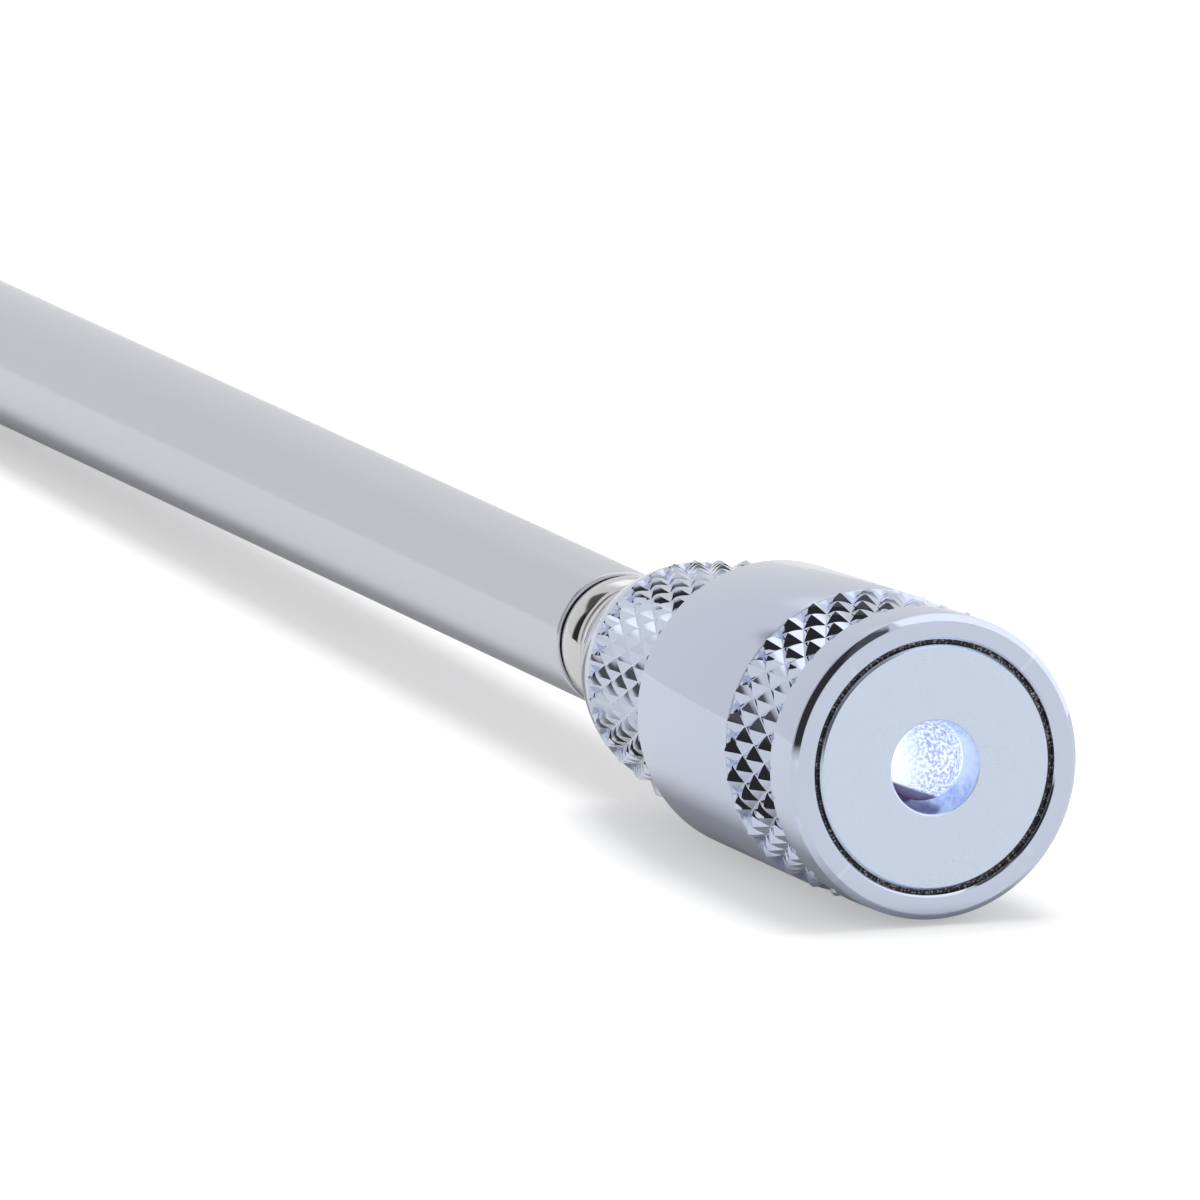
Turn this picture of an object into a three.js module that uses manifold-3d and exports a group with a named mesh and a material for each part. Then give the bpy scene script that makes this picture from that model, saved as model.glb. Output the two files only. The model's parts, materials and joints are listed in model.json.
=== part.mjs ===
// A telescopic magnetic pick-up tool with a lamp: a ring magnet around a 5 mm LED in a knurled twist-on
// head, carried on a seven-section telescopic rod. Closed, as it lies on a table.
//
// Millimetres, +Z up. The head's axis runs along Y: the magnet looks towards -Y and the rod runs to +Y.
// Along the tool, "y" is the distance behind the magnet's face. The rod ends in a ball in the head's tail,
// and lies a little to one side of the head's axis. The origin is under the middle of the closed tool, on
// the surface it lies on.

import * as THREE from "three";
import Module from "manifold-3d";
import { mergeVertices } from "three/addons/utils/BufferGeometryUtils.js";

const wasm = await Module();
wasm.setup();

// ---------------------------------------------------------------- driving dimensions

const LENGTH = 194; // closed tool, face to tail
const HEAD_R = 8.8; // front collar of the head
const TUBE_R = 4.1; // outermost section
const LED_R = 2.45; // a standard 5 mm lamp

// Diamond knurl: crossed V-grooves leave rings of pyramids.
const KNURL_COUNT = 32; // pyramids round the head
const KNURL_DEPTH = 0.46;
const FRONT_KNURL = { start: 3.4, end: 10.05, crestStart: 8.9, crestEnd: 8.88, strips: 4 };
const REAR_KNURL = { start: 24.5, end: 36.2, crestStart: 8.4, crestEnd: 6.75, strips: 6 };
const HEAD_SIDES = 2 * KNURL_COUNT;
const AXIS_HEIGHT = FRONT_KNURL.crestStart; // the front knurl's crests are the lowest points

// Head, from the face backwards.
const RIM_FLAT_R = 8.45; // outer edge of the flat rim, where the bevel starts
const BEVEL_LENGTH = 0.38;
const MAGNET_POCKET_R = 7.35;
const MAGNET_R = 7.05;
const MAGNET_BORE_R = 2.7;
const MAGNET_START = 0.05;
const MAGNET_END = 5.05;
const MAGNET_CHAMFER = 0.12;
const WEB_START = 5.15; // the bezel's web behind the magnet
const WEB_END = 6;
const BEZEL_BACK = FRONT_KNURL.end + 0.05;
const BARREL_FRONT = BEZEL_BACK + 0.05;
const BARREL_BACK = 24.2;
const BARREL_FRONT_R = 8.78;
const BARREL_BACK_R = 8.48;
const THREAD_R = 7.75; // spigots that screw into the bezel
const TAIL_SPIGOT_R = 7.5;
const BORE_R = 6.8; // bore that holds the battery carrier
const TAIL_SPIGOT_START = 20.5;
const TAIL_BACK = 42.25;
const TAIL_BACK_R = 4.7;
const TAIL_DOME_POWER = 1.3; // 2 would be a parabola, 1 a cone

// Neck: a ball in the tail's socket, and two ribs behind it. Together they take a bend of 4.5 degrees.
const BALL_Y = 35;
const BALL_R = 2.9;
const SOCKET_R = 3;
const BALL_NECK_R = 1.75;
const NECK_HOLE_R = 2.45;
const NECK_BEND = 3.6 * (Math.PI / 180); // of the rod, towards +X
const FERRULE_START = TAIL_BACK + 0.35;
const FERRULE_END = 49.4;
const FERRULE_R = 4.08;
const FERRULE_GROOVE = { middle: 46.2, width: 0.5, depth: 0.35 };
const FERRULE_BULGE = 0.22; // how much each rib's middle stands above its edges

// Lamp and batteries. The lamp and its holder sit a little off the axis, in their clearance.
const LAMP_OFFSET = { x: 0.12, z: 0.18 };
const LED_TIP = 0.2;
const LED_FLANGE = { start: 7.9, end: 8.9, r: 2.9 };
const LEAD = { half: 0.25, offset: 1.27, start: LED_FLANGE.end + 0.05 }; // square, 2.54 mm apart
const HOLDER = { start: 6.2, end: 10.4, r: 6.55 };
const CONTACT_DISC = { start: 10.6, end: 10.9, r: 4.5 };
const CELL_COUNT = 3; // LR44 button cells
const CELL = { r: 5.8, length: 5.4, gap: 0.05, start: 11, capR: 5 };
const CELLS_END = CELL.start + CELL_COUNT * (CELL.length + CELL.gap);
const CARRIER = { start: 11, end: 29.3, r: 6.65, bore: 5.95 };
const SPRING = { start: CELLS_END + 0.25, end: 31.3, wireR: 0.25, frontR: 2.4, backR: 4, turns: 4 };

// Telescopic rod: every section's mouth is flush at MOUTH when the tool is closed.
const MOUTH = FERRULE_END + 0.2;
const SECTION_STEP = 0.47; // how much each section's radius drops
const WALL = 0.25;
const MOVING_SECTIONS = 6;
const FIRST_SECTION_LENGTH = 124;
const SECTION_SHORTENING = 1.2;
const CRIMP_LENGTH = 1.2;
const CRIMP_CLEARANCE = 0.03;
const FLARE = { length: 0.5, height: 0.1 };
const SLEEVE_LENGTH = 5;
const SLEEVE_CLEARANCE = 0.04;
const OUTER_TUBE_END = 188.2;
const CAP_PLUG_START = 184;
const CAP_R = 4.5;

const ROUND_SIDES = 24;

// ---------------------------------------------------------------- materials

const metal = (color, roughness) => new THREE.MeshStandardMaterial({ color, roughness, metalness: 1 });
const plastic = (color, roughness) => new THREE.MeshStandardMaterial({ color, roughness, metalness: 0 });

const MATERIALS = {
  chrome: metal(0xd4d7e2, 0.08),
  nickel: metal(0xc3cfe0, 0.3),
  steel: metal(0xc4c6d2, 0.3),
  springSteel: metal(0x9a9aa0, 0.35),
  brass: metal(0xc79a4b, 0.3),
  tin: metal(0xb9bcc2, 0.4),
  adhesive: plastic(0x0c0b0b, 0.7),
  epoxy: plastic(0xeaf2ff, 0.1),
  whitePlastic: plastic(0xe8e8e4, 0.5),
  blackPlastic: plastic(0x1a1b1d, 0.5),
};

// ---------------------------------------------------------------- shape helpers

// A turned solid. The outline is a list of [radius, y]: it starts and ends on the axis, or goes once round.
function turned(outline, sides = ROUND_SIDES) {
  const onAxis = outline[0][0] === 0;
  const closed = onAxis ? outline : [...outline, outline[0]];
  const points = closed.map(([r, y]) => new THREE.Vector2(r, y));
  return new THREE.LatheGeometry(points, sides);
}

// Points of a quarter-ellipse between two points of an outline; it leaves the first one along the axis.
function roundedCorner([r0, y0], [r1, y1], steps) {
  const points = [];
  for (let i = 0; i < steps; i++) {
    const angle = (i / steps) * (Math.PI / 2);
    points.push([r1 + (r0 - r1) * Math.cos(angle), y0 + (y1 - y0) * Math.sin(angle)]);
  }
  points.push([r1, y1]);
  return points;
}

// Points of a dome that narrows slowly at first and almost straight at the end.
function dome([r0, y0], [r1, y1], power, steps) {
  const points = [];
  for (let i = 0; i <= steps; i++) {
    const share = i / steps;
    points.push([r0 + (r1 - r0) * share ** power, y0 + (y1 - y0) * share]);
  }
  return points;
}

// Points of a ball or socket round the axis, from one angle to another, counted from its front pole.
function sphere(centre, radius, from, to, steps) {
  const points = [];
  for (let i = 0; i <= steps; i++) {
    const angle = from + ((to - from) * i) / steps;
    points.push([radius * Math.sin(angle), centre - radius * Math.cos(angle)]);
  }
  return points;
}

// Points of a convex rib between two places along an outline.
function rib(start, end, crestR, bulge, steps) {
  const points = [];
  for (let i = 0; i <= steps; i++) {
    const across = (2 * i) / steps - 1;
    points.push([crestR - bulge * across ** 2, start + ((end - start) * i) / steps]);
  }
  return points;
}

// The rings of a knurled band: low and high points alternate round each ring, and from ring to ring.
function knurlRings({ start, end, crestStart, crestEnd, strips }) {
  const rings = [];
  for (let i = 0; i <= strips; i++) {
    const share = i / strips;
    const crest = crestStart + (crestEnd - crestStart) * share;
    const y = start + (end - start) * share;
    rings.push({ y, r: (side) => ((side + i) % 2 ? crest - KNURL_DEPTH : crest), knurl: i });
  }
  return rings;
}

// A closed ring-shaped solid from rings of HEAD_SIDES points. A plain ring is [radius, y]; a knurled one
// comes from knurlRings, and its quads are split along the groove between two low points.
function knurledShell(rings) {
  const positions = [];
  const indices = [];
  const all = rings.map((ring) => (Array.isArray(ring) ? { y: ring[1], r: () => ring[0] } : ring));
  for (const ring of all) {
    for (let side = 0; side < HEAD_SIDES; side++) {
      const angle = (side / HEAD_SIDES) * 2 * Math.PI;
      const r = ring.r(side);
      positions.push(r * Math.sin(angle), ring.y, r * Math.cos(angle));
    }
  }
  all.forEach((ring, i) => {
    const next = (i + 1) % all.length;
    for (let side = 0; side < HEAD_SIDES; side++) {
      const a = i * HEAD_SIDES + side;
      const b = i * HEAD_SIDES + ((side + 1) % HEAD_SIDES);
      const c = next * HEAD_SIDES + side;
      const d = next * HEAD_SIDES + ((side + 1) % HEAD_SIDES);
      const grooveFromA = ring.knurl !== undefined && (side + ring.knurl) % 2 === 1;
      if (grooveFromA) indices.push(a, b, d, a, d, c);
      else indices.push(a, b, c, b, d, c);
    }
  });
  const geometry = new THREE.BufferGeometry();
  geometry.setAttribute("position", new THREE.Float32BufferAttribute(positions, 3));
  geometry.setIndex(indices);
  return geometry;
}

function toSolid(geometry) {
  const bare = geometry.clone();
  bare.deleteAttribute("normal");
  bare.deleteAttribute("uv");
  const merged = mergeVertices(bare, 1e-4);
  const triVerts = new Uint32Array(merged.index.array);
  const vertProperties = merged.attributes.position.array;
  return new wasm.Manifold(new wasm.Mesh({ numProp: 3, vertProperties, triVerts }));
}

function toGeometry(solid) {
  const mesh = solid.getMesh();
  const geometry = new THREE.BufferGeometry();
  geometry.setAttribute("position", new THREE.BufferAttribute(mesh.vertProperties, 3));
  geometry.setIndex(new THREE.BufferAttribute(mesh.triVerts, 1));
  return geometry;
}

function cut(geometry, tool) {
  return toGeometry(toSolid(geometry).subtract(toSolid(tool)));
}

function box([x0, x1], [y0, y1], [z0, z1]) {
  const geometry = new THREE.BoxGeometry(x1 - x0, y1 - y0, z1 - z0);
  return geometry.translate((x0 + x1) / 2, (y0 + y1) / 2, (z0 + z1) / 2);
}

// ---------------------------------------------------------------- head

// Chromed front cap: flat rim, bevel, collar and front knurl outside; magnet pocket and thread inside.
function frontBezel() {
  const innerEdge = 0.06;
  const threadBore = THREAD_R + 0.05;
  return knurledShell([
    [MAGNET_POCKET_R + innerEdge, 0],
    [RIM_FLAT_R, 0],
    [HEAD_R, BEVEL_LENGTH],
    [HEAD_R, FRONT_KNURL.start - 0.05],
    ...knurlRings(FRONT_KNURL),
    [HEAD_R - 0.06, BEZEL_BACK],
    [threadBore, BEZEL_BACK],
    [threadBore, WEB_END],
    [MAGNET_BORE_R + 0.1, WEB_END],
    [MAGNET_BORE_R + 0.1, WEB_START],
    [MAGNET_POCKET_R, WEB_START],
    [MAGNET_POCKET_R, innerEdge],
  ]);
}

function ringMagnet() {
  return turned(
    [
      [MAGNET_BORE_R + MAGNET_CHAMFER, MAGNET_START],
      [MAGNET_R - MAGNET_CHAMFER, MAGNET_START],
      [MAGNET_R, MAGNET_START + MAGNET_CHAMFER],
      [MAGNET_R, MAGNET_END],
      [MAGNET_BORE_R, MAGNET_END],
      [MAGNET_BORE_R, MAGNET_START + MAGNET_CHAMFER],
    ],
    HEAD_SIDES,
  );
}

// The adhesive that fills the gap round the magnet, a little below the face.
function magnetAdhesive() {
  const gap = 0.04;
  const start = 0.45;
  const outline = [
    [MAGNET_R + gap, start],
    [MAGNET_POCKET_R - gap, start],
    [MAGNET_POCKET_R - gap, MAGNET_END],
    [MAGNET_R + gap, MAGNET_END],
  ];
  return turned(outline, HEAD_SIDES);
}

function ledLens() {
  const tip = roundedCorner([LED_R, LED_TIP + LED_R], [0, LED_TIP], 5).reverse();
  return turned([
    ...tip,
    [LED_R, LED_FLANGE.start],
    [LED_FLANGE.r, LED_FLANGE.start],
    [LED_FLANGE.r, LED_FLANGE.end],
    [0, LED_FLANGE.end],
  ]);
}

// Straight lead, back to the contact disc.
function anodeLead() {
  const end = CONTACT_DISC.start - 0.05;
  return box([-LEAD.half, LEAD.half], [LEAD.start, end], [LEAD.offset - LEAD.half, LEAD.offset + LEAD.half]);
}

// Bent lead: back a little, then out through the holder's slot to the head's wall.
function cathodeLead() {
  const bendY = LEAD.start + 0.2;
  const reach = BORE_R - 0.1;
  const thickness = 2 * LEAD.half;
  const shape = new THREE.Shape([
    new THREE.Vector2(LEAD.offset - LEAD.half, LEAD.start),
    new THREE.Vector2(LEAD.offset + LEAD.half, LEAD.start),
    new THREE.Vector2(LEAD.offset + LEAD.half, bendY),
    new THREE.Vector2(reach, bendY),
    new THREE.Vector2(reach, bendY + thickness),
    new THREE.Vector2(LEAD.offset - LEAD.half, bendY + thickness),
  ]);
  const geometry = new THREE.ExtrudeGeometry(shape, { depth: thickness, bevelEnabled: false });
  // The shape's x axis becomes -Z, so the lead runs down, opposite the straight one.
  return geometry.translate(0, 0, -LEAD.half).rotateY(Math.PI / 2);
}

// Moulded holder behind the magnet: it traps the lamp's flange and carries the contact disc.
function ledHolder() {
  const bore = LED_R + 0.15;
  const counterbore = LED_FLANGE.r + 0.15;
  const shoulder = LED_FLANGE.start - 0.1;
  const body = turned([
    [bore, HOLDER.start],
    [HOLDER.r, HOLDER.start],
    [HOLDER.r, HOLDER.end],
    [counterbore, HOLDER.end],
    [counterbore, shoulder],
    [bore, shoulder],
  ]);
  const slotHalfWidth = 0.5;
  const slotEnds = [LED_FLANGE.end, HOLDER.end + 1];
  return cut(body, box([-slotHalfWidth, slotHalfWidth], slotEnds, [-HOLDER.r - 1, 0]));
}

function contactDisc() {
  const { start, end, r } = CONTACT_DISC;
  return turned([
    [0, start],
    [r, start],
    [r, end],
    [0, end],
  ]);
}

// Button cell, its rounded positive can forwards and its smaller negative cap backwards.
function buttonCell(index) {
  const start = CELL.start + index * (CELL.length + CELL.gap);
  const end = start + CELL.length;
  return turned([
    [0, start],
    [CELL.r - 0.25, start],
    [CELL.r, start + 0.25],
    [CELL.r, end - 0.4],
    [CELL.r - 0.2, end - 0.25],
    [CELL.capR, end - 0.25],
    [CELL.capR - 0.1, end],
    [0, end],
  ]);
}

function batteryCarrier() {
  return turned([
    [CARRIER.bore, CARRIER.start],
    [CARRIER.r, CARRIER.start],
    [CARRIER.r, CARRIER.end],
    [CARRIER.bore, CARRIER.end],
  ]);
}

// Conical contact spring: narrow against the last cell, wide against the tail cap.
function contactSpring() {
  class Cone extends THREE.Curve {
    getPoint(t, target = new THREE.Vector3()) {
      const angle = t * SPRING.turns * 2 * Math.PI;
      const r = SPRING.frontR + (SPRING.backR - SPRING.frontR) * t;
      const y = SPRING.start + SPRING.wireR + (SPRING.end - SPRING.start - 2 * SPRING.wireR) * t;
      return target.set(r * Math.sin(angle), y, r * Math.cos(angle));
    }
  }
  const wireSides = 6;
  const section = [];
  for (let i = 0; i < wireSides; i++) {
    const angle = (i / wireSides) * 2 * Math.PI;
    section.push(new THREE.Vector2(SPRING.wireR * Math.cos(angle), SPRING.wireR * Math.sin(angle)));
  }
  const stepsPerTurn = 12;
  return new THREE.ExtrudeGeometry(new THREE.Shape(section), {
    steps: SPRING.turns * stepsPerTurn,
    extrudePath: new Cone(),
  });
}

// Chromed sleeve between the two knurls. Its front spigot carries the bezel's thread.
function barrel() {
  const edge = 0.1;
  const tailBore = TAIL_SPIGOT_R + 0.05;
  return turned(
    [
      [BORE_R, WEB_END + 0.15],
      [THREAD_R, WEB_END + 0.15],
      [THREAD_R, BARREL_FRONT],
      [BARREL_FRONT_R, BARREL_FRONT],
      [BARREL_BACK_R, BARREL_BACK - edge],
      [BARREL_BACK_R - edge, BARREL_BACK],
      [tailBore, BARREL_BACK],
      [tailBore, TAIL_SPIGOT_START - 0.1],
      [BORE_R, TAIL_SPIGOT_START - 0.1],
    ],
    HEAD_SIDES,
  );
}

// Chromed tail: tapered knurl, then a smooth dome down to the neck. It holds the spring and the ferrule.
function tailCap() {
  const springBoreR = 4.5;
  const springSeat = SPRING.end + 0.1;
  const carrierStop = CARRIER.end + 0.2;
  const socketOpening = Math.asin(NECK_HOLE_R / SOCKET_R);
  const socket = sphere(BALL_Y, SOCKET_R, socketOpening, Math.PI - socketOpening, 10).reverse();
  return knurledShell([
    [BORE_R, TAIL_SPIGOT_START],
    [TAIL_SPIGOT_R, TAIL_SPIGOT_START],
    [TAIL_SPIGOT_R, BARREL_BACK + 0.1],
    [REAR_KNURL.crestStart - 0.2, BARREL_BACK + 0.1],
    [REAR_KNURL.crestStart - 0.12, REAR_KNURL.start - 0.05],
    ...knurlRings(REAR_KNURL),
    ...dome([REAR_KNURL.crestEnd - 0.12, REAR_KNURL.end + 0.1], [TAIL_BACK_R, TAIL_BACK], TAIL_DOME_POWER, 6),
    [NECK_HOLE_R, TAIL_BACK],
    ...socket,
    [NECK_HOLE_R, springSeat],
    [springBoreR, springSeat],
    [springBoreR, carrierStop],
    [BORE_R, carrierStop],
  ]);
}

// ---------------------------------------------------------------- neck and telescopic rod

const sectionRadius = (index) => TUBE_R - index * SECTION_STEP;
const sectionLength = (index) => FIRST_SECTION_LENGTH - (index - 1) * SECTION_SHORTENING;
const sectionEnd = (index) => MOUTH + sectionLength(index);
const ROD_R = sectionRadius(MOVING_SECTIONS);
const ROD_START = 41.2;

// Two ribs with a groove between them, and a ball in front that sits in the tail cap's socket, so that the
// head can swivel. The rod is pressed into the back.
function neckFerrule() {
  const { middle, width, depth } = FERRULE_GROOVE;
  const rodBore = ROD_R + 0.05;
  const ball = sphere(BALL_Y, BALL_R, 0, Math.PI - Math.asin(BALL_NECK_R / BALL_R), 9);
  ball[0] = [0, BALL_Y - BALL_R];
  return turned([
    ...ball,
    [BALL_NECK_R, FERRULE_START],
    ...rib(FERRULE_START, middle - width / 2, FERRULE_R, FERRULE_BULGE, 6),
    [FERRULE_R - depth, middle - width / 4],
    [FERRULE_R - depth, middle + width / 4],
    ...rib(middle + width / 2, FERRULE_END, FERRULE_R, FERRULE_BULGE, 6),
    [rodBore, FERRULE_END],
    [rodBore, ROD_START - 0.05],
    [0, ROD_START - 0.05],
  ]);
}

// Front end of a tube: rounded outside, and crimped in round the next section.
function crimpedMouth(index) {
  const r = sectionRadius(index);
  const crimp = sectionRadius(index + 1) + CRIMP_CLEARANCE;
  const rolled = 0.1;
  return {
    inside: [
      [r - WALL, MOUTH + CRIMP_LENGTH + 0.3],
      [crimp, MOUTH + CRIMP_LENGTH],
      [crimp, MOUTH],
    ],
    outside: [
      [r - rolled, MOUTH],
      [r, MOUTH + 3 * rolled],
    ],
  };
}

function outerTube() {
  const { inside, outside } = crimpedMouth(0);
  const outline = [...outside, [TUBE_R, OUTER_TUBE_END], [TUBE_R - WALL, OUTER_TUBE_END], ...inside];
  return turned(outline);
}

// The rear end of a moving section is flared, to keep its friction sleeve on.
function flaredEnd(index) {
  const r = sectionRadius(index);
  const end = sectionEnd(index);
  return [
    [r, end - FLARE.length],
    [r + FLARE.height, end - FLARE.length / 2],
    [r + FLARE.height, end],
  ];
}

function stageTube(index) {
  const { inside, outside } = crimpedMouth(index);
  const bore = [sectionRadius(index) - WALL, sectionEnd(index)];
  return turned([...outside, ...flaredEnd(index), bore, ...inside]);
}

function innerRod() {
  return turned([
    [0, ROD_START],
    [ROD_R, ROD_START],
    ...flaredEnd(MOVING_SECTIONS),
    [0, sectionEnd(MOVING_SECTIONS)],
  ]);
}

// Split brass sleeve on the rear of a moving section: it rubs in the section outside it.
function frictionSleeve(index) {
  const inner = sectionRadius(index) + SLEEVE_CLEARANCE;
  const outer = sectionRadius(index - 1) - WALL - SLEEVE_CLEARANCE;
  const split = 0.25; // radians, half the slit
  const shape = new THREE.Shape();
  shape.absarc(0, 0, outer, split, 2 * Math.PI - split, false);
  shape.absarc(0, 0, inner, 2 * Math.PI - split, split, true);
  const options = { depth: SLEEVE_LENGTH, bevelEnabled: false, curveSegments: ROUND_SIDES };
  const end = sectionEnd(index) - FLARE.length - 0.1;
  return new THREE.ExtrudeGeometry(shape, options).rotateX(Math.PI / 2).translate(0, end, 0);
}

// Turned plug that closes the handle, with a rounded flange as wide as a fingertip can feel.
function endCap() {
  const plugR = TUBE_R - WALL - 0.05;
  const flange = OUTER_TUBE_END + 0.1;
  const edge = 0.3;
  const roundR = 1.4;
  return turned([
    [0, CAP_PLUG_START],
    [plugR - edge, CAP_PLUG_START],
    [plugR, CAP_PLUG_START + edge],
    [plugR, flange],
    [CAP_R - edge / 2, flange],
    [CAP_R, flange + edge / 2],
    ...roundedCorner([CAP_R, LENGTH - roundR], [CAP_R - roundR, LENGTH], 4),
    [0, LENGTH],
  ]);
}

// ---------------------------------------------------------------- assembly

const tool = new THREE.Group();

const lamp = new THREE.Group();
lamp.position.set(LAMP_OFFSET.x, 0, LAMP_OFFSET.z);
tool.add(lamp);

// The rod turns about the ball: the outer group holds the bend, and the inner one brings "y" back.
const bentRod = new THREE.Group();
bentRod.position.set(0, BALL_Y, 0);
bentRod.rotation.z = -NECK_BEND;
tool.add(bentRod);
const rod = new THREE.Group();
rod.position.set(0, -BALL_Y, 0);
bentRod.add(rod);

function add(name, geometry, material, group = tool) {
  const mesh = new THREE.Mesh(geometry, material);
  mesh.name = name;
  group.add(mesh);
}

add("front_bezel", frontBezel(), MATERIALS.chrome);
add("ring_magnet", ringMagnet(), MATERIALS.nickel);
add("magnet_adhesive", magnetAdhesive(), MATERIALS.adhesive);
add("led_lens", ledLens(), MATERIALS.epoxy, lamp);
add("led_anode_lead", anodeLead(), MATERIALS.tin, lamp);
add("led_cathode_lead", cathodeLead(), MATERIALS.tin, lamp);
add("led_holder", ledHolder(), MATERIALS.whitePlastic, lamp);
add("contact_disc", contactDisc(), MATERIALS.brass);

for (let i = 0; i < CELL_COUNT; i++) add(`button_cell_${i + 1}`, buttonCell(i), MATERIALS.tin);
add("battery_carrier", batteryCarrier(), MATERIALS.blackPlastic);
add("contact_spring", contactSpring(), MATERIALS.springSteel);
add("barrel", barrel(), MATERIALS.chrome);
add("tail_cap", tailCap(), MATERIALS.chrome);

add("neck_ferrule", neckFerrule(), MATERIALS.chrome, rod);
add("outer_tube", outerTube(), MATERIALS.steel, rod);
for (let i = 1; i < MOVING_SECTIONS; i++) add(`stage_tube_${i}`, stageTube(i), MATERIALS.steel, rod);
add("inner_rod", innerRod(), MATERIALS.steel, rod);
for (let i = 1; i <= MOVING_SECTIONS; i++) {
  add(`friction_sleeve_${i}`, frictionSleeve(i), MATERIALS.brass, rod);
}
add("end_cap", endCap(), MATERIALS.chrome, rod);

// The surface that the tool lies on touches the front knurl's crests, and the origin is under the middle.
const extent = new THREE.Box3().setFromObject(tool, true);
const middle = extent.getCenter(new THREE.Vector3());
tool.position.set(-middle.x, -middle.y, AXIS_HEIGHT);

const part = new THREE.Group();
part.add(tool);

export default part;
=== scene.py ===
"""Looks of a telescopic magnetic pick-up tool with a lamp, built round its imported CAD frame.

The tool lies along Y. Profiles are in millimetres: r is the distance from the tool's axis, and y the
distance behind the face of the head. They are turned into metres in the row frame as meshes are made.
"""

import json
import math

import bmesh
import bpy
from mathutils import Matrix, Vector


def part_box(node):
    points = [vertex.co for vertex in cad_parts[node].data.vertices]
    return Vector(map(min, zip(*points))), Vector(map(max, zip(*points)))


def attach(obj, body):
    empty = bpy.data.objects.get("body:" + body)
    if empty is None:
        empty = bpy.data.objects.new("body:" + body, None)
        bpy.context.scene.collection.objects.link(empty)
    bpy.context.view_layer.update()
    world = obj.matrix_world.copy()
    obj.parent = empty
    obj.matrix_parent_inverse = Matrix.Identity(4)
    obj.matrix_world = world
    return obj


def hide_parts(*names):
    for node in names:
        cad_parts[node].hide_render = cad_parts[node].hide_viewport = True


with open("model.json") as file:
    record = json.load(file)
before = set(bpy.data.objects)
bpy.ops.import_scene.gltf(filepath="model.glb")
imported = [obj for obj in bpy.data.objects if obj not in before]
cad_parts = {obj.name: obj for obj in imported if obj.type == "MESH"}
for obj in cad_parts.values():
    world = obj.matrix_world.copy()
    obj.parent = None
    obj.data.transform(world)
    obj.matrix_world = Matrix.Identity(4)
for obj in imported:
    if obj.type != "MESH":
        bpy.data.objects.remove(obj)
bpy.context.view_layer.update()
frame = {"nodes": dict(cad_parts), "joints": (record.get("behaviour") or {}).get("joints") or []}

MM = 0.001


# ---------------------------------------------------------------- driving dimensions, from the frame


class Line:
    """One of the tool's two axes. Distances along it are in mm behind the face."""

    def __init__(self, point, y, direction):
        self.point = Vector(point)
        self.y = y
        self.direction = Vector(direction).normalized()

    def matrix(self):
        """From mm, with y along the line, to the row frame."""
        turn = Vector((0, 1, 0)).rotation_difference(self.direction).to_matrix().to_4x4()
        to_line = Matrix.Translation(self.point) @ turn @ Matrix.Scale(MM, 4)
        return to_line @ Matrix.Translation((0, -self.y, 0))

    def reach(self, node):
        """Where a CAD node starts and ends."""
        points = [vertex.co for vertex in frame["nodes"][node].data.vertices]
        along = [(point - self.point).dot(self.direction) / MM + self.y for point in points]
        return min(along), max(along)

    def front(self, node):
        return self.reach(node)[0]

    def back(self, node):
        return self.reach(node)[1]


def radius_of(node):
    """Outer radius of a round CAD node, in mm."""
    low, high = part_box(node)
    return (high.z - low.z) / 2 / MM


JOINTS = {joint["name"]: joint for joint in frame["joints"]}
BALL = Vector(JOINTS["head_swivel"]["pos_m"])
FACE_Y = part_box("front_bezel")[0].y

HEAD = Line((BALL.x, FACE_Y, BALL.z), 0, (0, 1, 0))
BALL_Y = (BALL.y - FACE_Y) / MM
ROD = Line(BALL, BALL_Y, [-c for c in JOINTS["section_1_slide"]["axis"]])

KNURL_COUNT = 32
KNURL_SIDES = 2 * KNURL_COUNT
KNURL_DEPTH = 0.46
KNURL_HEIGHT = 0.1  # of the knurl's crests over the collar
KNURL_CREST_R = radius_of("front_bezel")
HEAD_R = KNURL_CREST_R - KNURL_HEIGHT
BARREL_R = radius_of("barrel")
TUBE_R = radius_of("outer_tube")
FERRULE_R = radius_of("neck_ferrule")
MAGNET_R = radius_of("ring_magnet")
LED_FLANGE_R = radius_of("led_lens")
LED_FLANGE_WIDTH = 0.45
LED_FLANGE_LENGTH = 1.0
LED_R = LED_FLANGE_R - LED_FLANGE_WIDTH
FLARE = 0.1  # of a section's rear end over its outside
SECTION_STEP = TUBE_R - (radius_of("stage_tube_1") - FLARE)
WALL = 0.25  # of each tube

BEZEL_BACK = HEAD.back("front_bezel")
BARREL_BACK = HEAD.back("barrel")
TAIL_BACK = HEAD.back("tail_cap")
FERRULE_BACK = ROD.back("neck_ferrule")
MOUTH = ROD.front("outer_tube")
TUBE_END = ROD.back("outer_tube")
LENGTH = ROD.back("end_cap")


# ---------------------------------------------------------------- meshes


def place(r, y, angle):
    """A point at distance r from the axis, y behind the face, and angle from straight up towards +X."""
    return Vector((r * math.sin(angle), y, r * math.cos(angle)))


def finish_piece(mesh, name, material, body, nodes, sharp_angle):
    """Turns a bmesh in mm into a piece that rides on a body and stands for CAD nodes."""
    line = HEAD if body in ("head", "bezel") else ROD
    bmesh.ops.remove_doubles(mesh, verts=mesh.verts, dist=1e-4)
    bmesh.ops.recalc_face_normals(mesh, faces=mesh.faces)
    bmesh.ops.transform(mesh, matrix=line.matrix(), verts=mesh.verts)
    data = bpy.data.meshes.new(name)
    mesh.to_mesh(data)
    mesh.free()
    data.shade_smooth()
    data.set_sharp_from_angle(angle=math.radians(sharp_angle))
    piece = bpy.data.objects.new(name, data)
    piece.data.materials.append(material)
    bpy.context.scene.collection.objects.link(piece)
    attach(piece, body)
    if nodes:
        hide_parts(*nodes)
    return piece


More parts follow.
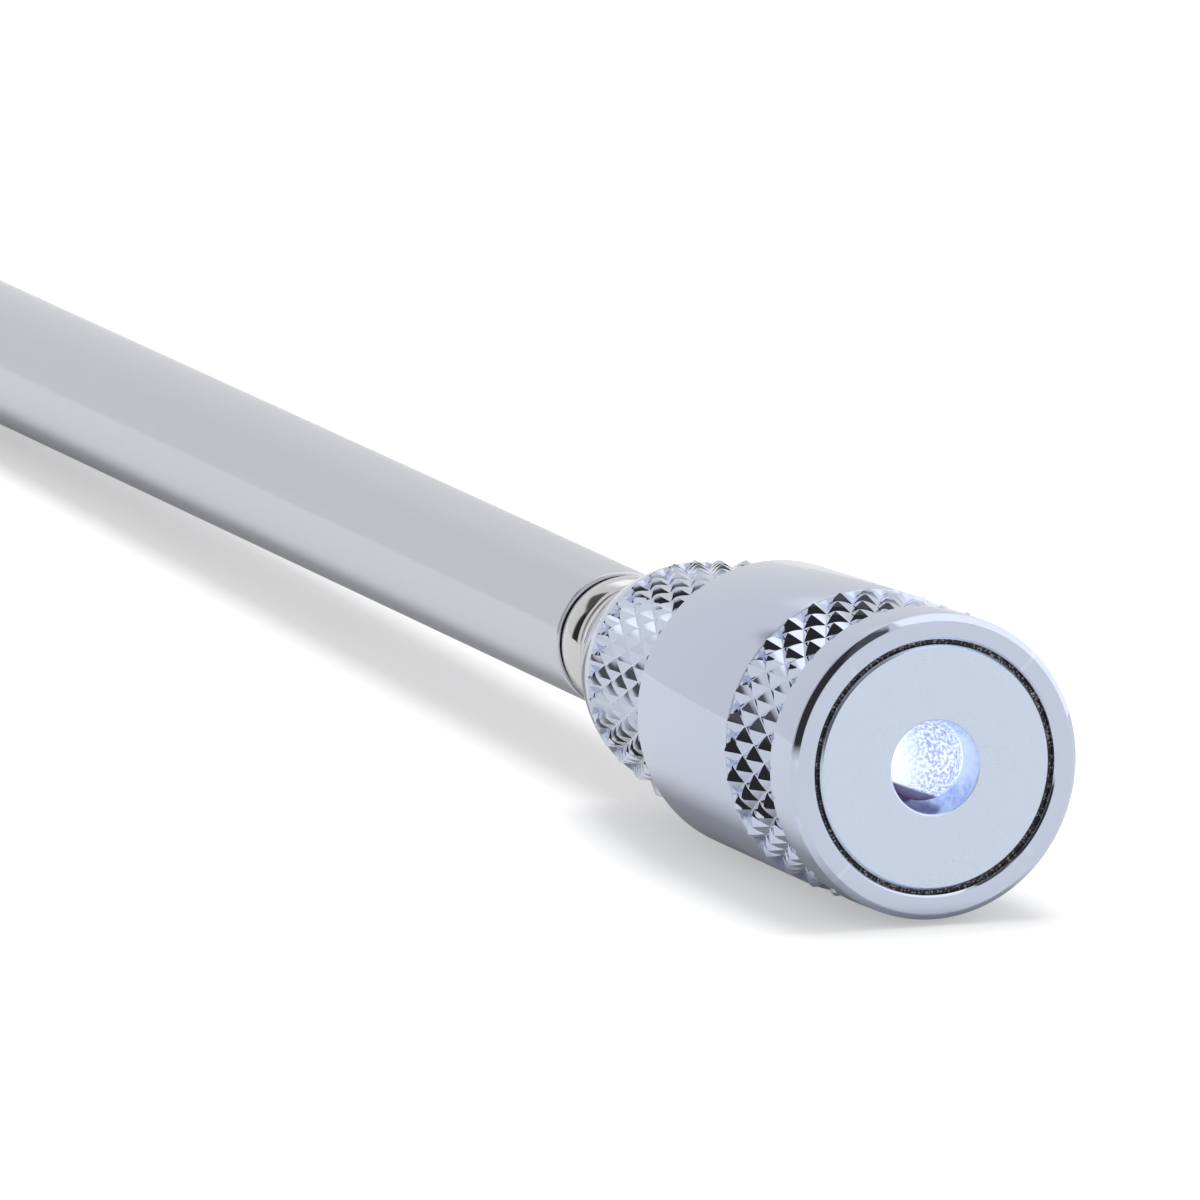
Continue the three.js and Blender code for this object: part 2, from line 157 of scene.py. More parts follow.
def filleted(outline, closed, steps=5):
    """Rounds the corners of an outline of (r, y) or (r, y, fillet radius) with arcs."""
    count = len(outline)
    result = []
    for i, point in enumerate(outline):
        here = Vector(point[:2])
        radius = point[2] if len(point) > 2 else 0
        inner = closed or 0 < i < count - 1
        if not radius or not inner:
            result.append((here.x, here.y))
            continue
        to_before = Vector(outline[i - 1][:2]) - here
        to_after = Vector(outline[(i + 1) % count][:2]) - here
        half = to_before.angle(to_after) / 2
        reach = min(radius / math.tan(half), 0.49 * min(to_before.length, to_after.length))
        start = here + to_before.normalized() * reach
        end = here + to_after.normalized() * reach
        to_centre = (to_before.normalized() + to_after.normalized()).normalized()
        centre = here + to_centre * (reach / math.cos(half))
        first, last = start - centre, end - centre
        turn = first.angle_signed(last)
        for step in range(steps + 1):
            spoke = first.copy()
            spoke.rotate(Matrix.Rotation(-turn * step / steps, 2))
            result.append(tuple(centre + spoke))
    return result


def turned(mesh, outline, angles, closed):
    """Adds an outline turned round the axis. A radius may be a function of the angle."""
    rings = []
    for r, y in outline:
        if not callable(r) and r < 1e-9:
            rings.append([mesh.verts.new(place(0, y, 0))])
            continue
        radii = [r(a) if callable(r) else r for a in angles]
        rings.append([mesh.verts.new(place(radius, y, a)) for radius, a in zip(radii, angles)])
    pairs = list(zip(rings, rings[1:]))
    if closed:
        pairs.append((rings[-1], rings[0]))
    for one, two in pairs:
        for i in range(len(angles)):
            j = (i + 1) % len(angles)
            if len(one) == 1:
                mesh.faces.new((one[0], two[j], two[i]))
            elif len(two) == 1:
                mesh.faces.new((one[i], one[j], two[0]))
            else:
                mesh.faces.new((one[i], one[j], two[j], two[i]))


def even_angles(count):
    return [2 * math.pi * i / count for i in range(count)]


def turned_piece(name, outline, material, body, nodes, closed=True, segments=192, sharp_angle=32):
    """A whole piece of revolution. An outline that isn't closed starts and ends on the axis."""
    mesh = bmesh.new()
    turned(mesh, filleted(outline, closed), even_angles(segments), closed)
    return finish_piece(mesh, name, material, body, nodes, sharp_angle)


# ---------------------------------------------------------------- knurl

# Shares of the way from a pyramid's tip to its groove. They mirror about the middle, so that pyramids
# that start half a pitch apart still share their points.
KNURL_LEVELS = (0, 0.05, 0.25, 0.5, 0.75, 0.95, 1)
KNURL_STEPS = 6  # points along each groove
STEP_ANGLE = 2 * math.pi / KNURL_SIDES


def knurl_angles():
    """Angles of all points round the head at which a knurl's edge has a point."""
    sides = [2 * i + share for i in range(KNURL_COUNT) for share in KNURL_LEVELS[:-1]]
    sides += [2 * i + 2 - share for i in range(KNURL_COUNT) for share in KNURL_LEVELS[1:]]
    return [side * STEP_ANGLE for side in sorted(sides)]


class Knurl:
    """A band of pyramids left by crossed V-grooves, in strips half a pyramid long."""

    def __init__(self, start, end, crest_start, crest_end, strips, tip, floor, swell):
        self.start = start
        self.end = end
        self.crest_start = crest_start
        self.crest_end = crest_end
        self.strips = strips
        self.tip = tip  # share of the way down that the worn tip takes
        self.floor = floor  # share of the way at which the groove's flat floor starts
        self.swell = swell  # how much a facet's middle stands out, in mm

    def crest(self, strip):
        return self.crest_start + (self.crest_end - self.crest_start) * strip / self.strips

    def radius(self, side, strip):
        """Radius at a place counted in half pyramids round and along the band."""
        across = (side + strip) / 2
        along = (side - strip) / 2
        down = 2 * max(abs(across - round(across)), abs(along - round(along)))
        share = min(max((down - self.tip) / (self.floor - self.tip), 0), 1)
        return self.crest(strip) - KNURL_DEPTH * share + self.swell * 4 * share * (1 - share)

    def point(self, side, strip):
        y = self.start + (self.end - self.start) * strip / self.strips
        return place(self.radius(side, strip), y, side * STEP_ANGLE)

    def edge(self, strip):
        """The radius along one edge of the band, as a function of the angle."""
        return lambda angle: self.radius(angle / STEP_ANGLE, strip)

    def add_to(self, mesh):
        for strip in range(self.strips + 1):
            for side in range(strip % 2, KNURL_SIDES, 2):
                for towards in (-1, 1):
                    if 0 <= strip + towards <= self.strips:
                        self.add_facet(mesh, side, strip, 1, towards)
                        self.add_facet(mesh, side, strip, -1, towards)

    def add_facet(self, mesh, side, strip, around, towards):
        """One of a pyramid's four facets, from its tip down to the groove."""
        rows = []
        for level in KNURL_LEVELS[1:]:
            row = []
            for step in range(KNURL_STEPS + 1):
                share = step / KNURL_STEPS
                place_around = side + around * level * (1 - share)
                place_along = strip + towards * level * share
                row.append(mesh.verts.new(self.point(place_around, place_along)))
            rows.append(row)
        tip = mesh.verts.new(self.point(side, strip))
        for i in range(KNURL_STEPS):
            mesh.faces.new((tip, rows[0][i], rows[0][i + 1]))
            for one, two in zip(rows, rows[1:]):
                mesh.faces.new((one[i], two[i], two[i + 1], one[i + 1]))


def knurled_piece(name, knurl, rest, material, body, nodes):
    """A closed piece: a knurled band, and the rest of its outline from the band's end to its start."""
    mesh = bmesh.new()
    knurl.add_to(mesh)
    outline = [(knurl.edge(knurl.strips), knurl.end), *filleted(rest, False), (knurl.edge(0), knurl.start)]
    turned(mesh, outline, knurl_angles(), False)
    return finish_piece(mesh, name, material, body, nodes, 14)


# ---------------------------------------------------------------- materials


class Material:
    """A metal or plastic whose nodes are added step by step."""

    def __init__(self, name, color, metallic, roughness):
        self.material = bpy.data.materials.new(name)
        self.material.use_nodes = True
        self.tree = self.material.node_tree
        self.shader = self.tree.nodes["Principled BSDF"]
        self.shader.inputs["Base Color"].default_value = (*color, 1)
        self.shader.inputs["Metallic"].default_value = metallic
        self.shader.inputs["Roughness"].default_value = roughness
        self.coordinates = self.node("ShaderNodeTexCoord").outputs["Object"]

    def node(self, kind, inputs=None, **settings):
        made = self.tree.nodes.new(kind)
        for key, value in settings.items():
            setattr(made, key, value)
        for key, value in (inputs or {}).items():
            socket = made.inputs[key]
            if isinstance(value, bpy.types.NodeSocket):
                self.tree.links.new(value, socket)
            else:
                socket.default_value = value
        return made

    def link(self, source, name):
        self.tree.links.new(source, self.shader.inputs[name])

    def noise(self, scale, detail=4.0, stretch=(1, 1, 1)):
        """Noise with about `scale` grains to the mm, stretched by a factor along each axis."""
        size = [scale / MM / s for s in stretch]
        vector = self.node(
            "ShaderNodeVectorMath", {0: self.coordinates, 1: size}, operation="MULTIPLY"
        ).outputs[0]
        inputs = {"Vector": vector, "Scale": 1.0, "Detail": detail}
        return self.node("ShaderNodeTexNoise", inputs).outputs["Fac"]

    def ranged(self, source, low, high, to_low, to_high):
        inputs = {"Value": source, "From Min": low, "From Max": high, "To Min": to_low, "To Max": to_high}
        return self.node("ShaderNodeMapRange", inputs).outputs["Result"]

    def mixed(self, share, one, two):
        """Colour one to two by share."""
        node = self.node("ShaderNodeMix", data_type="RGBA")
        self.tree.links.new(share, node.inputs["Factor"])
        for socket, value in ((node.inputs["A"], one), (node.inputs["B"], two)):
            if isinstance(value, bpy.types.NodeSocket):
                self.tree.links.new(value, socket)
            else:
                socket.default_value = (*value, 1)
        return node.outputs["Result"]

    def bump(self, source, height):
        """Bump of about `height` mm between the noise's extremes."""
        inputs = {"Height": source, "Distance": height * MM, "Strength": 1.0}
        return self.node("ShaderNodeBump", inputs).outputs["Normal"]


STREAK_DARKENING = 0.98
WORN_BRIGHTENING = 1.12
WORN_SHARE = 0.6
# Pointiness at which an edge starts to look worn, and is fully worn. Lower values mark flat faces too.
WORN_FROM = 0.68
WORN_FULLY = 0.80


def worn_metal(name, color, roughness, rough_spread, streak, bump_height, grained=False):
    """Metal with streaks from turning or drawing, cloudy polish, fine dust marks and brighter sharp edges.

    The bump follows the streaks, or a fine grain where the metal is grained.
    """
    made = Material(name, color, 1, roughness)
    cloud = made.noise(0.25, 3)
    streaks = made.noise(8, 3, streak)
    specks = made.noise(14, 2)
    cloudy = made.ranged(cloud, 0.1, 0.9, roughness, roughness + rough_spread)
    speck = made.ranged(specks, 0.68, 0.78, 0, rough_spread * 1.5)
    total = made.node("ShaderNodeMath", {0: cloudy, 1: speck}, operation="ADD").outputs[0]
    made.link(total, "Roughness")
    darker = tuple(c * STREAK_DARKENING for c in color)
    tinted = made.mixed(made.ranged(streaks, 0.3, 0.7, 0, 1), darker, color)
    pointed = made.node("ShaderNodeNewGeometry").outputs["Pointiness"]
    lighter = tuple(min(1, c * WORN_BRIGHTENING) for c in color)
    worn = made.ranged(pointed, WORN_FROM, WORN_FULLY, 0, WORN_SHARE)
    made.link(made.mixed(worn, tinted, lighter), "Base Color")
    height = made.noise(5, 2) if grained else streaks
    made.link(made.bump(height, bump_height), "Normal")
    return made.material


def moulded_plastic(name, color, roughness, grain_bump):
    """Plastic with the fine grain of a mould and slightly uneven colour."""
    made = Material(name, color, 0, roughness)
    grain = made.noise(10, 4)
    made.link(made.ranged(grain, 0.3, 0.7, roughness - 0.08, roughness + 0.1), "Roughness")
    darker = tuple(c * 0.8 for c in color)
    made.link(made.mixed(made.ranged(made.noise(1, 2), 0.35, 0.65, 0, 1), darker, color), "Base Color")
    made.link(made.bump(grain, grain_bump), "Normal")
    return made.material


ROUND_STREAKS = (40, 1, 40)  # rings left by turning
LONG_STREAKS = (1, 60, 1)  # lines left by drawing a tube
EVEN = (1, 1, 1)

CHROME = worn_metal("head_chrome", (0.63, 0.68, 0.83), 0.02, 0.02, ROUND_STREAKS, 0.000008)
NECK_STEEL = worn_metal("neck_steel", (0.70, 0.69, 0.70), 0.05, 0.04, ROUND_STREAKS, 0.00002)
TUBE_STEEL = worn_metal("tube_steel", (0.65, 0.66, 0.73), 0.13, 0.04, LONG_STREAKS, 0.00003)
CAP_CHROME = worn_metal("cap_chrome", (0.66, 0.71, 0.86), 0.04, 0.03, ROUND_STREAKS, 0.00001)
MAGNET_NICKEL = worn_metal("magnet_nickel", (0.66, 0.74, 0.88), 0.26, 0.02, EVEN, 0.0002, grained=True)
LEAD_TIN = worn_metal("lead_tin", (0.60, 0.60, 0.62), 0.35, 0.1, LONG_STREAKS, 0.0005)
BRASS = worn_metal("contact_brass", (0.70, 0.52, 0.25), 0.25, 0.12, EVEN, 0.0005)
SLEEVE_BRASS = worn_metal("sleeve_brass", (0.70, 0.52, 0.25), 0.28, 0.12, LONG_STREAKS, 0.0008)
CELL_STEEL = worn_metal("cell_steel", (0.62, 0.62, 0.63), 0.25, 0.1, ROUND_STREAKS, 0.0005)
SPRING_STEEL = worn_metal("spring_steel", (0.45, 0.45, 0.47), 0.3, 0.1, EVEN, 0.0005)
WHITE_PLASTIC = moulded_plastic("holder_white", (0.80, 0.80, 0.77), 0.5, 0.003)
BLACK_PLASTIC = moulded_plastic("carrier_black", (0.03, 0.03, 0.035), 0.5, 0.004)


def adhesive_material():
    """Dark glue with pale dust caught in it."""
    made = Material("adhesive_black", (0.02, 0.02, 0.02), 0, 0.6)
    dust = made.ranged(made.noise(9, 3), 0.55, 0.66, 0, 1)
    made.link(made.mixed(dust, (0.015, 0.014, 0.014), (0.55, 0.5, 0.47)), "Base Color")
    made.link(made.bump(made.noise(6, 3), 0.08), "Normal")
    return made.material


def lamp_material():
    """Clear lamp, lit and mottled blue over its cup, with painted highlights white to the left and along
    the right rim, and painted shade dark at the lower left rim, in the gap between lamp and hole.
    """
    made = Material("led_epoxy", (0.25, 0.30, 0.42), 0, 0.1)
    low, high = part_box("led_lens")
    offset = made.node(
        "ShaderNodeVectorMath", {0: made.coordinates, 1: (low + high) / 2}, operation="SUBTRACT"
    ).outputs[0]
    across = made.node("ShaderNodeSeparateXYZ", {0: offset}).outputs["X"]
    lower_left = (-0.35, 0, -0.94)
    down = made.node(
        "ShaderNodeVectorMath", {0: offset, 1: lower_left}, operation="DOT_PRODUCT"
    ).outputs["Value"]
    radius = LED_R * MM
    mottle = made.ranged(made.noise(5.5, 7), 0.40, 0.60, 0, 1)
    # Painted highlights: white on the left of the dome and a bright rim to the right, where light catches
    # the clear lamp.
    left_highlight_share = made.ranged(across, -0.25 * radius, -0.8 * radius, 0, 1)
    rim_highlight_share = made.ranged(across, 0.72 * radius, 0.9 * radius, 0, 0.8)
    # Painted shade: a dark crescent at the lower left rim, where the gap between lamp and hole lies in
    # shadow.
    gap_shade_share = made.ranged(down, 0.70 * radius, 0.76 * radius, 0, 1)
    glow = made.mixed(mottle, (0.24, 0.26, 0.62), (0.78, 0.90, 1.0))
    # The lamp's glow, with the painted highlights and painted shade mixed in.
    glow = made.mixed(left_highlight_share, glow, (0.9, 0.97, 1.0))
    glow = made.mixed(rim_highlight_share, glow, (0.85, 0.93, 1.0))
    glow = made.mixed(gap_shade_share, glow, (0.03, 0.0, 0.04))
    made.link(glow, "Emission Color")
    made.shader.inputs["Emission Strength"].default_value = 0.95
    made.link(made.bump(made.noise(5, 4), 0.01), "Normal")
    return made.material


ADHESIVE = adhesive_material()
LAMP = lamp_material()


# ---------------------------------------------------------------- head

FRONT_KNURL = Knurl(
    start=3.4,
    end=BEZEL_BACK - 0.05,
    crest_start=KNURL_CREST_R,
    crest_end=KNURL_CREST_R - 0.02,
    strips=4,
    tip=0.03,
    floor=0.94,
    swell=0.035,
)
REAR_START = BARREL_BACK + 0.3
REAR_CREST_R = radius_of("tail_cap")
REAR_KNURL = Knurl(
    start=REAR_START,
    end=REAR_START + 11.7,
    crest_start=REAR_CREST_R,
    crest_end=REAR_CREST_R - 1.65,
    strips=6,
    tip=0.06,
    floor=0.92,
    swell=0.03,
)


def front_bezel():
    pocket = MAGNET_R + 0.3
    web_start = HEAD.back("ring_magnet") + 0.1
    web_end = web_start + 0.85
    thread_bore = 7.8
    lamp_hole = 2.8
    rest = [
        (HEAD_R - 0.06, BEZEL_BACK, 0.03),
        (thread_bore, BEZEL_BACK),
        (thread_bore, web_end),
        (lamp_hole, web_end),
        (lamp_hole, web_start),
        (pocket, web_start),
        (pocket, 0.12, 0.04),
        (pocket + 0.12, 0, 0.04),
        (HEAD_R - 0.35, 0, 0.1),
        (HEAD_R, 0.38, 0.1),
        (HEAD_R, FRONT_KNURL.start - 0.05, 0.03),
        (HEAD_R - 0.04, FRONT_KNURL.start),
    ]
    knurled_piece("bezel_chromed", FRONT_KNURL, rest, CHROME, "bezel", ["front_bezel"])


def ring_magnet():
    start, end = HEAD.reach("ring_magnet")
    bore = 2.7
    outline = [
        (bore, start, 0.12),
        (bore + 0.22, start),
        (MAGNET_R - 0.2, start),
        (MAGNET_R - 0.13, start),
        (MAGNET_R, start + 0.13),
        (MAGNET_R, end),
        (bore, end),
    ]
    turned_piece(
        "magnet_ring",
        outline,
        MAGNET_NICKEL,
        "bezel",
        ["ring_magnet"],
        segments=256,
        sharp_angle=20,
    )


def magnet_adhesive():
    start, end = HEAD.reach("magnet_adhesive")
    inner = MAGNET_R + 0.03
    outer = MAGNET_R + 0.27
    outline = [(inner, start), (outer, start), (outer, end), (inner, end)]
    turned_piece(
        "adhesive_ring", outline, ADHESIVE, "bezel", ["magnet_adhesive"], segments=256
    )


def barrel():
    edge = 0.06
    front_y = BEZEL_BACK + 0.05
    outline = [
        (6.8, HEAD.front("barrel")),
        (7.75, HEAD.front("barrel"), edge),
        (7.75, front_y),
        (BARREL_R, front_y, edge),
        (BARREL_R - 0.3, BARREL_BACK, edge),
        (7.55, BARREL_BACK),
        (7.55, HEAD.front("tail_cap") - 0.1),
        (6.8, HEAD.front("tail_cap") - 0.1),
    ]
    turned_piece("barrel_sleeve", outline, CHROME, "head", ["barrel"], segments=256)


def tail_cap():
    """The knurled tail, whose dome narrows slowly at first and almost straight at the end."""
    dome_start = REAR_KNURL.end + 0.1
    dome_r = REAR_KNURL.crest_end - 0.12
    end_r = 4.7
    power = 1.3
    steps = 24
    dome = []
    for i in range(steps + 1):
        share = i / steps
        y = dome_start + (TAIL_BACK - dome_start) * share
        dome.append((dome_r + (end_r - dome_r) * share**power, y))
    neck_hole = 2.45
    socket_r = 3.0
    seat = 31.4
    stop = 29.5
    opening = math.asin(neck_hole / socket_r)
    rest = [
        *dome,
        (neck_hole, TAIL_BACK),
        *reversed(ball_arc(socket_r, opening, math.pi - opening)),
        (neck_hole, seat),
        (4.5, seat),
        (4.5, stop),
        (6.8, stop),
        (6.8, HEAD.front("tail_cap")),
        (7.5, HEAD.front("tail_cap")),
        (7.5, BARREL_BACK + 0.1),
        (REAR_CREST_R - 0.2, BARREL_BACK + 0.1, 0.04),
        (REAR_CREST_R - 0.12, REAR_START - 0.05, 0.03),
        (REAR_CREST_R - 0.16, REAR_START),
    ]
    knurled_piece("tail_chromed", REAR_KNURL, rest, CHROME, "head", ["tail_cap"])


def ball_arc(radius, first, last):
    """Part of an outline round the neck's ball, between two angles from its front pole."""
    steps = 20
    angles = [first + (last - first) * i / steps for i in range(steps + 1)]
    return [(radius * math.sin(angle), BALL_Y - radius * math.cos(angle)) for angle in angles]


def neck_ferrule():
    start = TAIL_BACK + 0.35
    groove = 46.2
    groove_half = 0.25
    ball_r = 2.9
    neck_r = 1.75
    rod_start = ROD.front("inner_rod") - 0.05
    rod_bore = section_radius(6) + 0.05

    def rib(first, last):
        steps = 16
        points = []
        for i in range(steps + 1):
            across = 2 * i / steps - 1
            points.append((FERRULE_R - 0.22 * across**2, first + (last - first) * i / steps))
        return points

    outline = [
        *ball_arc(ball_r, 0, math.pi - math.asin(neck_r / ball_r)),
        (neck_r, start),
        *rib(start, groove - groove_half),
        (FERRULE_R - 0.35, groove - groove_half / 2),
        (FERRULE_R - 0.35, groove + groove_half / 2),
        *rib(groove + groove_half, FERRULE_BACK),
        (rod_bore, FERRULE_BACK),
        (rod_bore, rod_start),
        (0, rod_start),
    ]
    turned_piece("neck_ribs", outline, NECK_STEEL, "rod", ["neck_ferrule"], closed=False)


def led_lens():
    mesh = bmesh.new()
    tip, lens_end = HEAD.reach("led_lens")
    low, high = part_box("led_lens")
    flange = lens_end - LED_FLANGE_LENGTH
    steps = 24
    outline = []
    for i in range(steps + 1):
        angle = math.pi / 2 * i / steps
        outline.append((LED_R * math.sin(angle), tip + LED_R * (1 - math.cos(angle))))
    outline += [
        (LED_R, flange),
        (LED_FLANGE_R, flange),
        (LED_FLANGE_R, lens_end),
        (0, lens_end),
    ]
    turned(mesh, outline, even_angles(128), False)
    off_axis = ((low + high) / 2 - HEAD.point) / MM
    bmesh.ops.translate(mesh, verts=mesh.verts, vec=(off_axis.x, 0, off_axis.z))
    finish_piece(mesh, "led_dome", LAMP, "head", ["led_lens"], 40)


# ---------------------------------------------------------------- telescopic rod


def section_radius(index):
    return TUBE_R - index * SECTION_STEP


def tube_mouth(index):
    """The front end of a tube: rolled outside, and crimped in round the next section."""
    r = section_radius(index)
    crimp = section_radius(index + 1) + 0.03
    inside = [(r - WALL, MOUTH + 1.5), (crimp, MOUTH + 1.2), (crimp, MOUTH, 0.05)]
    outside = [(r - 0.02, MOUTH, 0.12), (r, MOUTH + 0.3)]
    return inside, outside


def flared_end(index, end):
    r = section_radius(index)
    return [(r, end - 0.5), (r + FLARE, end - 0.25), (r + FLARE, end)]


def outer_tube():
    inside, outside = tube_mouth(0)
    outline = [*outside, (TUBE_R, TUBE_END), (TUBE_R - WALL, TUBE_END), *inside]
    turned_piece("tube_outer", outline, TUBE_STEEL, "handle", ["outer_tube"])


def stage_tube(index):
    node = f"stage_tube_{index}"
    inside, outside = tube_mouth(index)
    end = ROD.back(node)
    outline = [*outside, *flared_end(index, end), (section_radius(index) - WALL, end), *inside]
    name = f"tube_stage_{index}"
    turned_piece(name, outline, TUBE_STEEL, f"section_{index}", [node], segments=128)


def inner_rod():
    start, end = ROD.reach("inner_rod")
    outline = [(0, start), (section_radius(6), start), *flared_end(6, end), (0, end)]
    turned_piece(
        "rod_inner", outline, TUBE_STEEL, "rod", ["inner_rod"], closed=False, segments=96
    )


def end_cap():
    start = ROD.front("end_cap")
    plug = TUBE_R - WALL - 0.05
    cap = radius_of("end_cap")
    flange = TUBE_END + 0.1
    outline = [
        (0, start),
        (plug, start, 0.3),
        (plug, flange),
        (cap, flange, 0.15),
        (cap, LENGTH, 1.4),
        (0, LENGTH),
    ]
    turned_piece("cap_end", outline, CAP_CHROME, "handle", ["end_cap"], closed=False)


front_bezel()
ring_magnet()
magnet_adhesive()
barrel()
tail_cap()
neck_ferrule()
led_lens()
outer_tube()
for section in range(1, 6):
    stage_tube(section)
inner_rod()
end_cap()

KEPT_NODES = {
    "led_anode_lead": LEAD_TIN,
    "led_cathode_lead": LEAD_TIN,
    "led_holder": WHITE_PLASTIC,
    "contact_disc": BRASS,
    "button_cell_1": CELL_STEEL,
    "button_cell_2": CELL_STEEL,
    "button_cell_3": CELL_STEEL,
    "battery_carrier": BLACK_PLASTIC,
    "contact_spring": SPRING_STEEL,
    "friction_sleeve_1": SLEEVE_BRASS,
    "friction_sleeve_2": SLEEVE_BRASS,
    "friction_sleeve_3": SLEEVE_BRASS,
    "friction_sleeve_4": SLEEVE_BRASS,
    "friction_sleeve_5": SLEEVE_BRASS,
    "friction_sleeve_6": SLEEVE_BRASS,
}
for node_name, kept_material in KEPT_NODES.items():
    slots = frame["nodes"][node_name].material_slots
    for slot_index in range(len(slots)):
        slots[slot_index].material = kept_material


# ---------------------------------------------------------------- camera

CAMERA_AZIMUTH = -22.72
CAMERA_ELEVATION = 9.18
CAMERA_DISTANCE = 1.54
AIM_RIGHT = -0.01909  # from the middle of the face
AIM_UP = 0.00948
LENS_MM = 813.5


def add_camera():
    azimuth = math.radians(CAMERA_AZIMUTH)
    elevation = math.radians(CAMERA_ELEVATION)
    away = Vector(
        (
            math.sin(azimuth) * math.cos(elevation),
            -math.cos(azimuth) * math.cos(elevation),
            math.sin(elevation),
        )
    )
    right = Vector((math.cos(azimuth), math.sin(azimuth), 0))
    up = away.cross(right)
    face = HEAD.point
    data = bpy.data.cameras.new("camera")
    data.lens = LENS_MM
    data.sensor_width = 36
    data.clip_start = 0.05
    data.clip_end = 200
    camera = bpy.data.objects.new("camera", data)
    camera.location = face + away * CAMERA_DISTANCE
    aim = face + right * AIM_RIGHT + up * AIM_UP
    camera.rotation_mode = "QUATERNION"
    camera.rotation_quaternion = (aim - camera.location).to_track_quat("-Z", "Y")
    bpy.context.scene.collection.objects.link(camera)
    bpy.context.scene.camera = camera


add_camera()


# ---------------------------------------------------------------- floor and light


FLOOR_GREY = 0.51
FLOOR_GLOW_MIRRORED = 0.05  # of the floor in the metal's reflections
FLOOR_GLOW_SEEN = 0.36  # added to that where the camera sees the floor, to keep it white


def add_floor():
    """The tool rests on its front knurl and its end cap, so the floor rises a little towards the cap."""
    half = 40.0  # metres, so that no view finds its edge
    clearance = 0.01 * MM
    knurl_y = FACE_Y + FRONT_KNURL.end * MM
    knurl_z = HEAD.point.z - KNURL_CREST_R * MM - clearance
    cap_low, cap_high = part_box("end_cap")
    slope = (cap_low.z - clearance - knurl_z) / (cap_high.y - knurl_y)
    mesh = bmesh.new()
    for x, y in ((-half, -half), (half, -half), (half, half), (-half, half)):
        mesh.verts.new((x, y, knurl_z + slope * (y - knurl_y)))
    mesh.faces.new(mesh.verts)
    data = bpy.data.meshes.new("floor")
    mesh.to_mesh(data)
    mesh.free()
    floor = bpy.data.objects.new("floor", data)
    bpy.context.scene.collection.objects.link(floor)
    made = Material("floor_white", (FLOOR_GREY, FLOOR_GREY, FLOOR_GREY), 0, 0.6)
    made.shader.inputs["Specular IOR Level"].default_value = 0
    made.shader.inputs["Emission Color"].default_value = (1, 1, 1, 1)
    camera_ray = made.node("ShaderNodeLightPath").outputs["Is Camera Ray"]
    glow = made.node(
        "ShaderNodeMath",
        {0: camera_ray, 1: FLOOR_GLOW_SEEN, 2: FLOOR_GLOW_MIRRORED},
        operation="MULTIPLY_ADD",
    ).outputs[0]
    made.link(glow, "Emission Strength")
    floor.data.materials.append(made.material)


# Patches of the studio that the metal mirrors: azimuth from +Y towards +X and elevation of the middle,
# half sizes, soft edge, all in degrees, and brightness.
STUDIO_PATCHES = (
    (-118, 38, 15, 34, 4, 0.04),  # dark drape to the upper left
    (-150, 68, 26, 12, 5, 0.10),  # its top edge
    (-48, 24, 15, 26, 3, 0.03),  # dark gap behind on the left
    (-25, 38, 14, 11, 3, 0.10),  # its darker top
    (110, 45, 50, 60, 8, 1.25),  # large soft box on the right
    (26, 42, 20, 14, 5, 1.3),  # lamp behind on the right
)
STUDIO_BRIGHTNESS = 0.77  # between the patches
MATT_BRIGHTNESS = 0.85  # of the studio as matt surfaces see it
CAMERA_BRIGHTNESS = 0.2  # added to that where the camera sees the studio


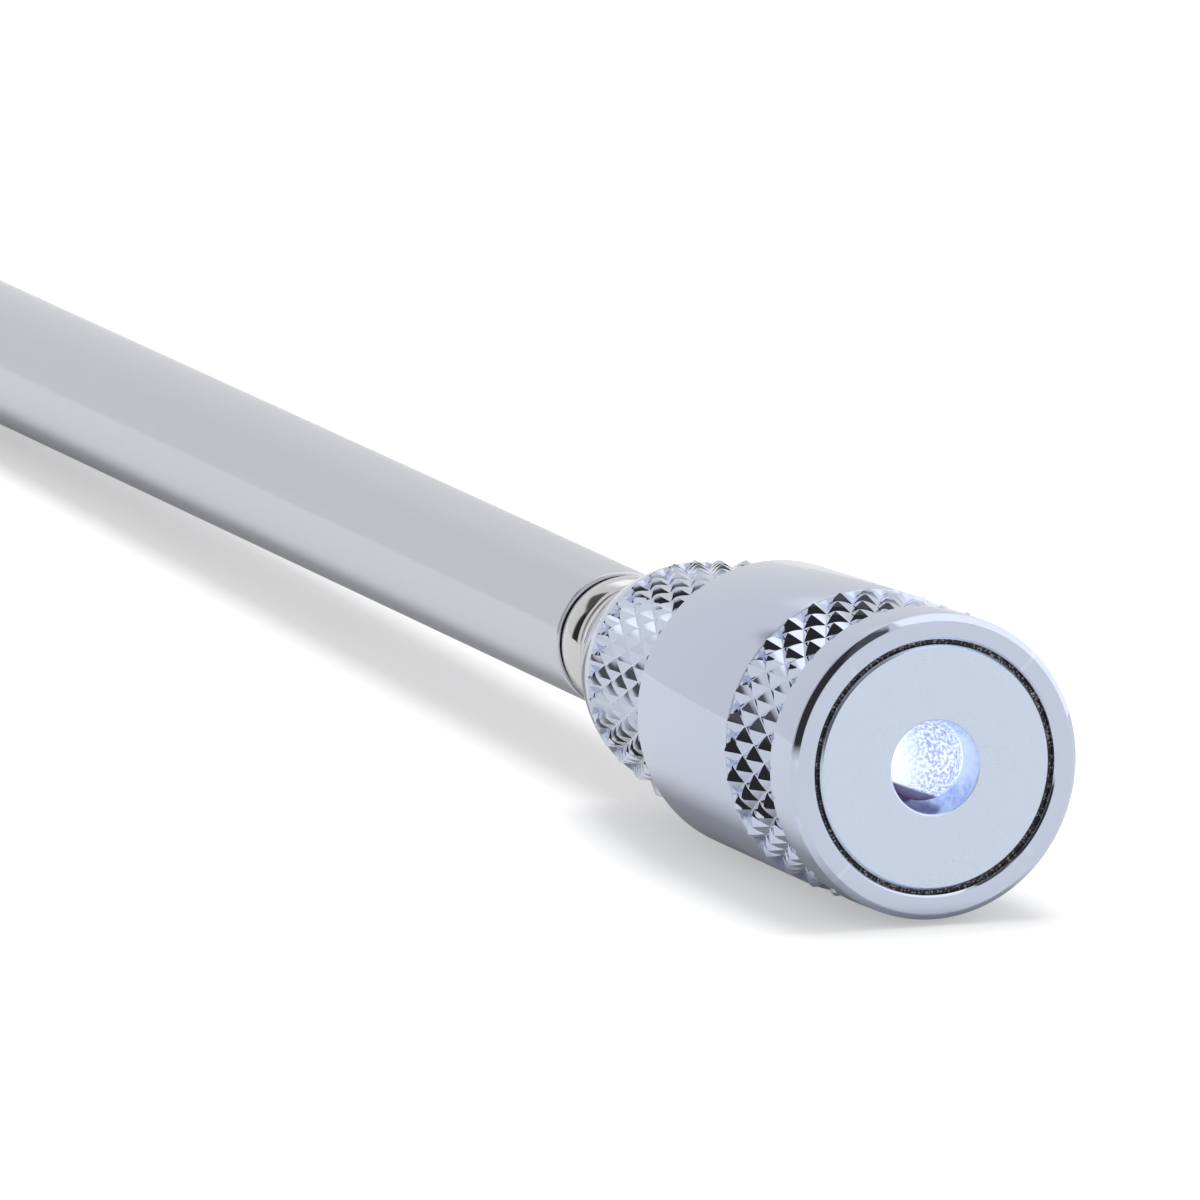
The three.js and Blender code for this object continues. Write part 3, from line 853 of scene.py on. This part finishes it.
def add_world():
    """A pale studio to the camera and to matt surfaces, and one with dark and bright patches to metal."""
    world = bpy.data.worlds.new("studio")
    bpy.context.scene.world = world
    world.use_nodes = True
    tree = world.node_tree

    def node(kind, inputs=None, **settings):
        made = tree.nodes.new(kind)
        for key, value in settings.items():
            setattr(made, key, value)
        for key, value in (inputs or {}).items():
            if isinstance(value, bpy.types.NodeSocket):
                tree.links.new(value, made.inputs[key])
            else:
                made.inputs[key].default_value = value
        return made

    def calculate(operation, *values):
        return node("ShaderNodeMath", dict(enumerate(values)), operation=operation).outputs[0]

    direction = node("ShaderNodeTexCoord").outputs["Generated"]
    parts = node("ShaderNodeSeparateXYZ", {0: direction})
    degrees = 180 / math.pi
    turn = calculate("ARCTAN2", parts.outputs["X"], parts.outputs["Y"])
    azimuth = calculate("MULTIPLY", turn, degrees)
    elevation = calculate("MULTIPLY", calculate("ARCSINE", parts.outputs["Z"]), degrees)

    def inside(angle, middle, half, soft):
        off = calculate("ABSOLUTE", calculate("SUBTRACT", angle, middle))
        return node(
            "ShaderNodeMapRange",
            {"Value": off, "From Min": half + soft, "From Max": half - soft},
            interpolation_type="SMOOTHSTEP",
        ).outputs["Result"]

    seen = STUDIO_BRIGHTNESS
    for patch_azimuth, patch_elevation, half_width, half_height, soft, brightness in STUDIO_PATCHES:
        across = inside(azimuth, patch_azimuth, half_width, soft)
        share = calculate("MULTIPLY", across, inside(elevation, patch_elevation, half_height, soft))
        step = calculate("SUBTRACT", brightness, seen)
        seen = calculate("MULTIPLY_ADD", share, step, seen)

    path = node("ShaderNodeLightPath").outputs
    matt = calculate("MULTIPLY_ADD", path["Is Camera Ray"], CAMERA_BRIGHTNESS, MATT_BRIGHTNESS)
    level = node(
        "ShaderNodeMix", {"Factor": path["Is Glossy Ray"], "A": matt, "B": seen}, data_type="FLOAT"
    ).outputs["Result"]
    tree.links.new(level, tree.nodes["Background"].inputs["Strength"])
    tree.nodes["Background"].inputs["Color"].default_value = (1, 1, 1, 1)


SUN_ENERGY = 2.4
SUN_ANGLE = 34  # degrees across, for soft shadows
SUN_DIRECTION = (-0.1, -0.15, -1)


def add_sun():
    """Soft light from above and a little behind. The metal mirrors the studio and not this light."""
    data = bpy.data.lights.new("key", "SUN")
    data.energy = SUN_ENERGY
    data.angle = math.radians(SUN_ANGLE)
    light = bpy.data.objects.new("key", data)
    light.rotation_euler = Vector(SUN_DIRECTION).to_track_quat("-Z", "Y").to_euler()
    light.visible_glossy = False
    bpy.context.scene.collection.objects.link(light)


add_floor()
add_world()
add_sun()
bpy.context.scene.view_settings.view_transform = "Standard"
